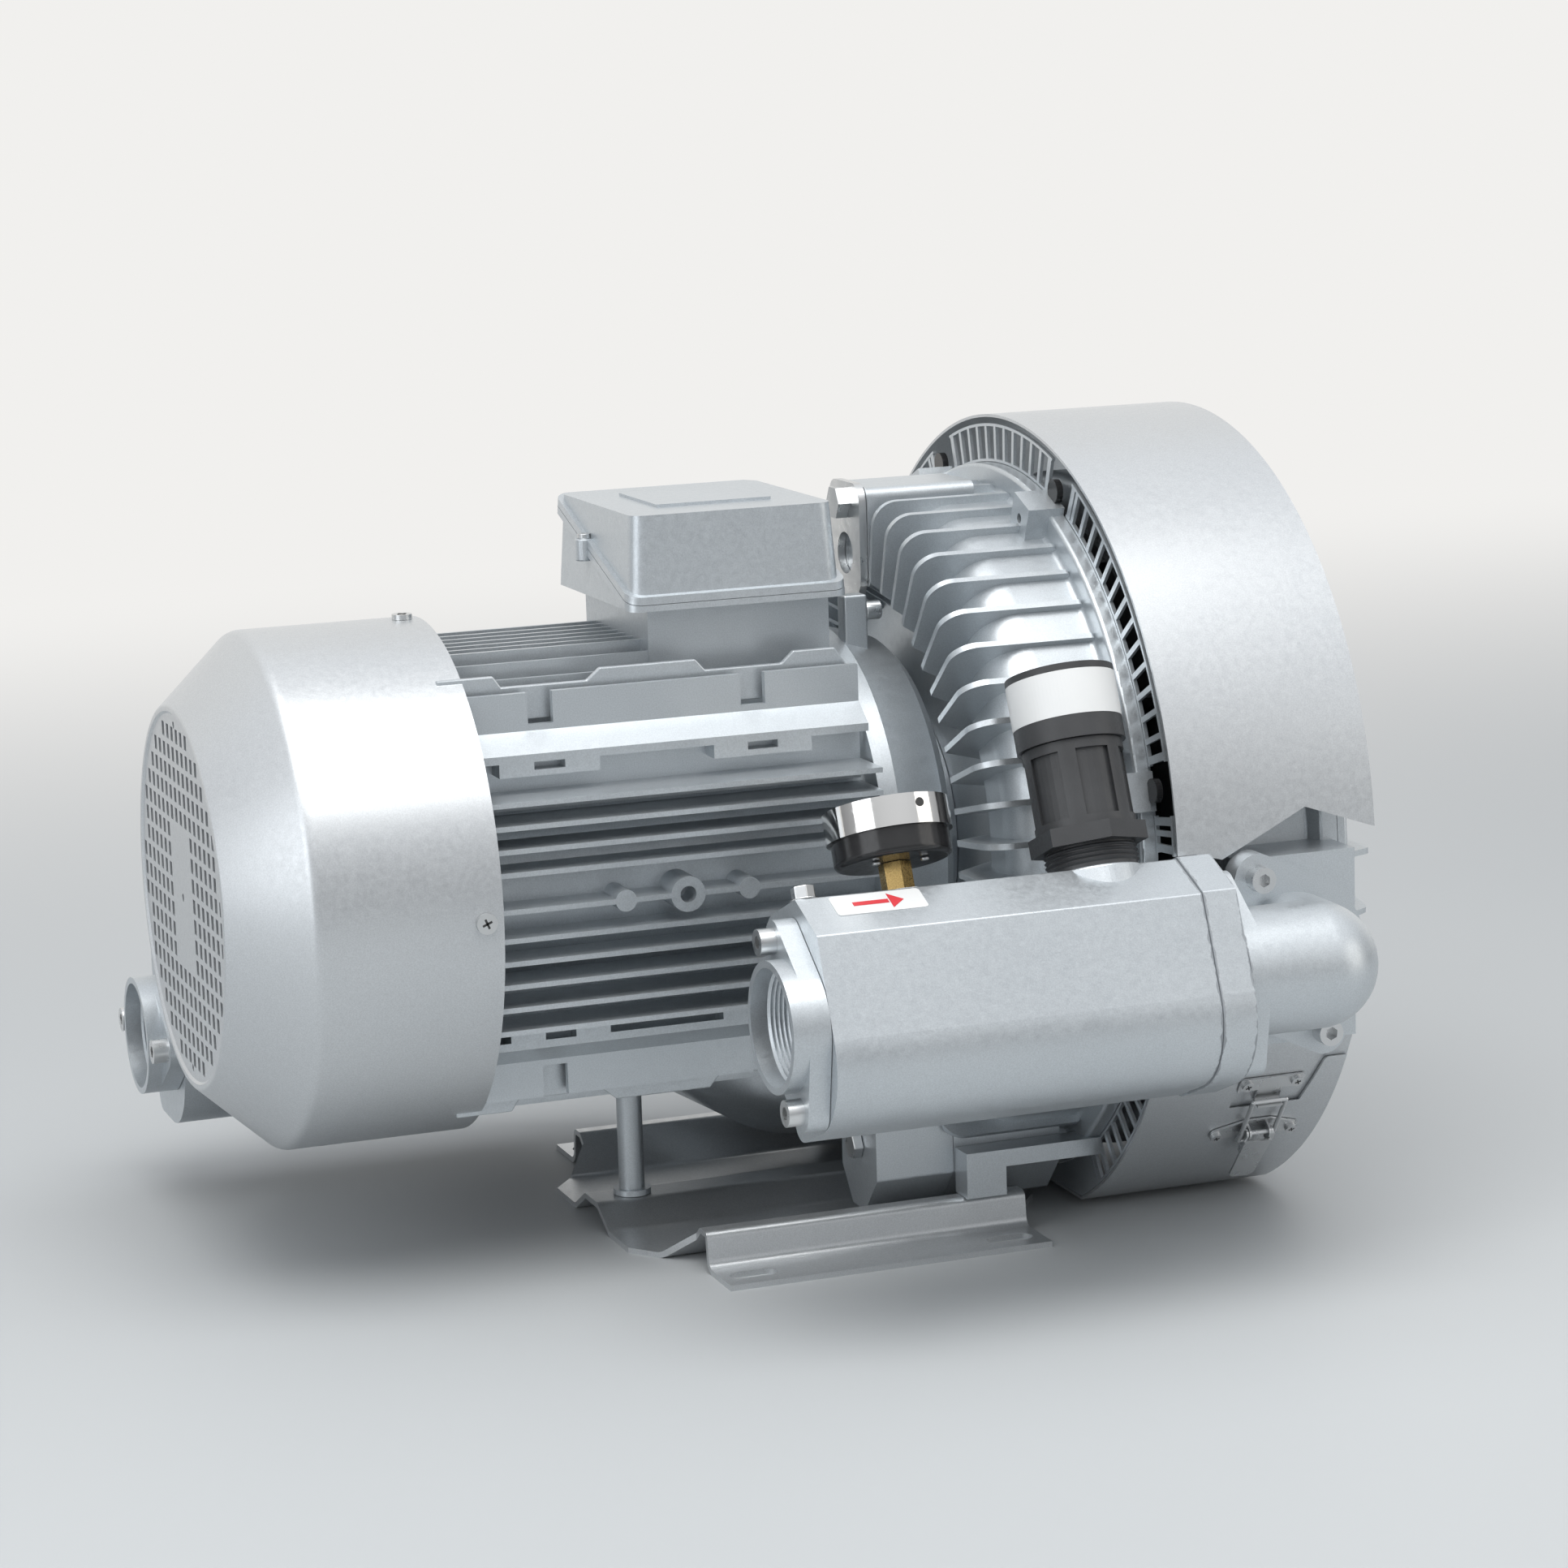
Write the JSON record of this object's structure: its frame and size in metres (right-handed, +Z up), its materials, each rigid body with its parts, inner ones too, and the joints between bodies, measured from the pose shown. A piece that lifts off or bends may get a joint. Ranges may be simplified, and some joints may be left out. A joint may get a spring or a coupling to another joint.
{
  "type": "side channel blower",
  "caption": "Regenerative side channel blower with finned motor, shrouded impeller stages, two silencers, pressure gauge and relief valve on a pressed base.",
  "frame": {"origin": "centre of the four base slots, on the floor plane under the base", "axes": "+X along the motor axis from the fan cover towards the blower end, +Y towards the far silencer, +Z up"},
  "size_m": [0.577, 0.503, 0.4129],
  "materials": {
    "silver_casting": "satin silver paint on a casting",
    "silver_sheet": "satin silver paint on sheet steel",
    "steel": "machined steel",
    "lamination": "stacked lamination",
    "copper": "varnished copper wire",
    "zinc": "bright zinc plate",
    "impeller_aluminium": "bare cast aluminium",
    "black_plastic": "matt black moulded plastic",
    "black_gloss": "black lacquer",
    "chrome": "polished chrome",
    "brass": "turned brass",
    "dial_white": "matt white",
    "glass": "clear",
    "liner_foam": "open felt liner",
    "terminal_plastic": "moulded terminal block"
  },
  "bodies": {
    "frame": {"base_plate": "silver_sheet", "motor_support_post": "silver_casting", "motor_housing": "silver_casting", "rear_end_shield": "silver_casting", "drive_end_shield": "silver_casting", "stator_core": "lamination", "stator_windings": "copper", "shaft_bearings": "steel", "fan_cover": "silver_sheet", "fan_cover_screws": "zinc", "terminal_box": "silver_casting", "terminal_box_lid": "silver_casting", "terminal_board": "terminal_plastic", "cable_entry_plugs": "silver_casting", "lifting_bracket": "zinc", "hex_bolts": "zinc", "inner_stage_housing": "silver_casting", "inner_stage_cover": "silver_casting", "end_stage_housing": "silver_casting", "end_cover": "silver_casting", "shroud_upper": "silver_sheet", "shroud_lower": "silver_sheet", "shroud_side_strips": "silver_sheet", "air_grid": "silver_sheet", "near_silencer": "silver_casting", "far_silencer": "silver_casting", "near_port_flange": "silver_casting", "far_port_flange": "silver_casting", "silencer_end_flanges": "silver_casting", "port_flange_screws": "zinc", "silencer_liners": "liner_foam", "near_elbow": "silver_casting", "elbow_screws": "zinc", "far_bend": "silver_casting", "duct_cap": "silver_casting", "gauge_washer": "zinc", "gauge_stem": "brass", "gauge_case": "black_gloss", "gauge_bezel": "chrome", "gauge_dial": "dial_white", "gauge_glass": "glass", "valve_body": "black_plastic", "valve_cap": "black_plastic", "valve_spring": "steel", "latch_bases": "zinc", "catch_plates": "zinc", "shroud_screws": "zinc"},
    "rotor": {"motor_shaft": "steel", "rotor_core": "lamination", "motor_cooling_fan": "black_plastic", "inner_impeller": "impeller_aluminium", "shroud_fan_wheel": "black_plastic", "end_impeller": "impeller_aluminium", "impeller_nut": "steel"},
    "relief_poppet": {"valve_poppet": "black_plastic"},
    "pressure_needle": {"gauge_needle": "black_plastic"},
    "near_lever": {"near_latch_lever": "zinc"},
    "near_bail": {"near_latch_bail": "zinc"},
    "far_lever": {"far_latch_lever": "zinc"},
    "far_bail": {"far_latch_bail": "zinc"}
  },
  "joints": [
    {"name": "rotor_spin", "type": "hinge", "parent": "frame", "child": "rotor", "pos_m": [0, 0, 0.1973], "axis": [1, 0, 0], "continuous": true},
    {"name": "poppet_lift", "type": "slide", "parent": "frame", "child": "relief_poppet", "axis": [0, 0.3827, 0.9239], "range_m": [0, 0.006], "stiffness_N_per_m": 3000, "springref_m": -0.008, "deforming": ["valve_spring"]},
    {"name": "needle_turn", "type": "hinge", "parent": "frame", "child": "pressure_needle", "pos_m": [-0.0175, -0.20722, 0.2257], "axis": [0, -0.3827, -0.9239], "range_deg": [0, 270], "stiffness_Nm_per_rad": 0.0005},
    {"name": "near_lever_turn", "type": "hinge", "parent": "frame", "child": "near_lever", "pos_m": [0.199, -0.16058, 0.05016], "axis": [-1, 0, 0], "range_deg": [0, 140]},
    {"name": "near_bail_turn", "type": "hinge", "parent": "near_lever", "child": "near_bail", "pos_m": [0.199, -0.15652, 0.04573], "axis": [-1, 0, 0], "range_deg": [-140, 0]},
    {"name": "far_lever_turn", "type": "hinge", "parent": "frame", "child": "far_lever", "pos_m": [0.199, 0.16058, 0.05016], "axis": [1, 0, 0], "range_deg": [0, 140]},
    {"name": "far_bail_turn", "type": "hinge", "parent": "far_lever", "child": "far_bail", "pos_m": [0.199, 0.15652, 0.04573], "axis": [1, 0, 0], "range_deg": [-140, 0]}
  ],
  "couplings": [
    {"joint": "near_bail_turn", "follows": "near_lever_turn", "ratio": -1},
    {"joint": "far_bail_turn", "follows": "far_lever_turn", "ratio": -1}
  ]
}
